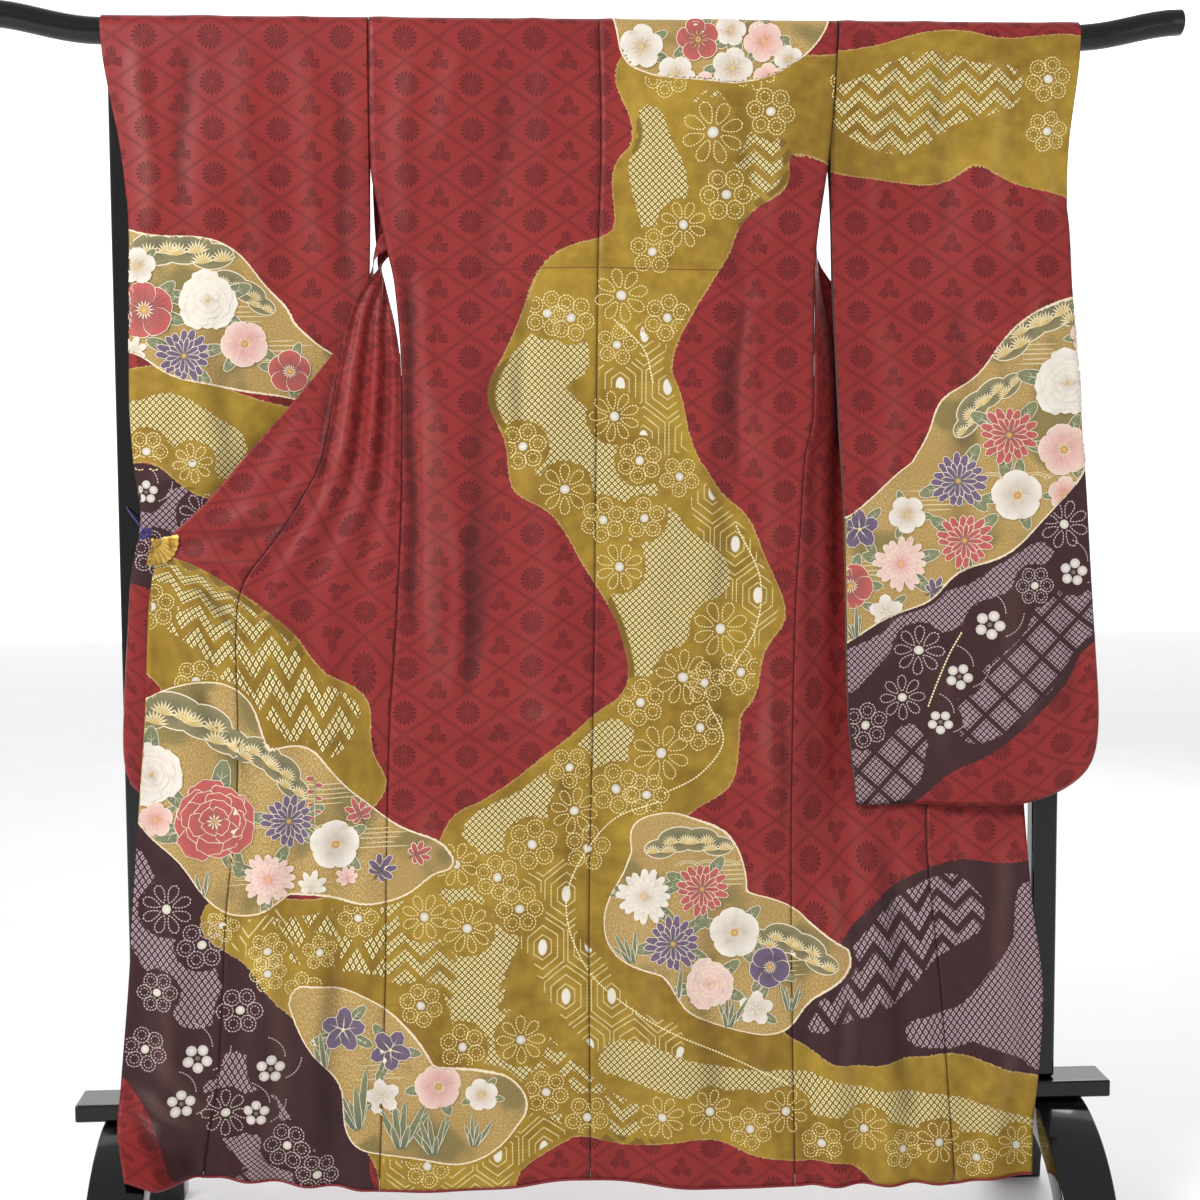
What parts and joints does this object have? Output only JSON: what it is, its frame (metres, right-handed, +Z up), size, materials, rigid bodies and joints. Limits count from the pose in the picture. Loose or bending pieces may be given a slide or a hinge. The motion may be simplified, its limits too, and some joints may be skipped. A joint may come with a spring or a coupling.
{
  "type": "furisode kimono on a lacquered kimono stand",
  "caption": "Long-sleeved kimono spread on a lacquered pole stand, back outwards, with both fronts drawn aside and one held by a fan-shaped clip.",
  "frame": {"origin": "middle of the footprint on the floor", "axes": "+Z up, +X along the pole to the right as seen from the kimono's back, -Y out of the kimono's back"},
  "size_m": [1.608, 0.424, 1.7],
  "materials": {
    "silk": "satin damask",
    "lacquer": "gloss black lacquer",
    "gold": "polished",
    "cord": "twisted cord"
  },
  "bodies": {
    "root": {"body_left": "silk", "body_right": "silk", "overlap_left": "silk", "overlap_right": "silk", "sleeve_left": "silk", "sleeve_right": "silk", "collar": "silk", "stand_pole": "lacquer", "stand_post_left": "lacquer", "stand_post_right": "lacquer", "stand_foot_left": "lacquer", "stand_foot_right": "lacquer", "stand_bar": "lacquer", "plain_clip": "lacquer", "fan_clip": "gold", "clip_cord": "cord"}
  },
  "joints": []
}
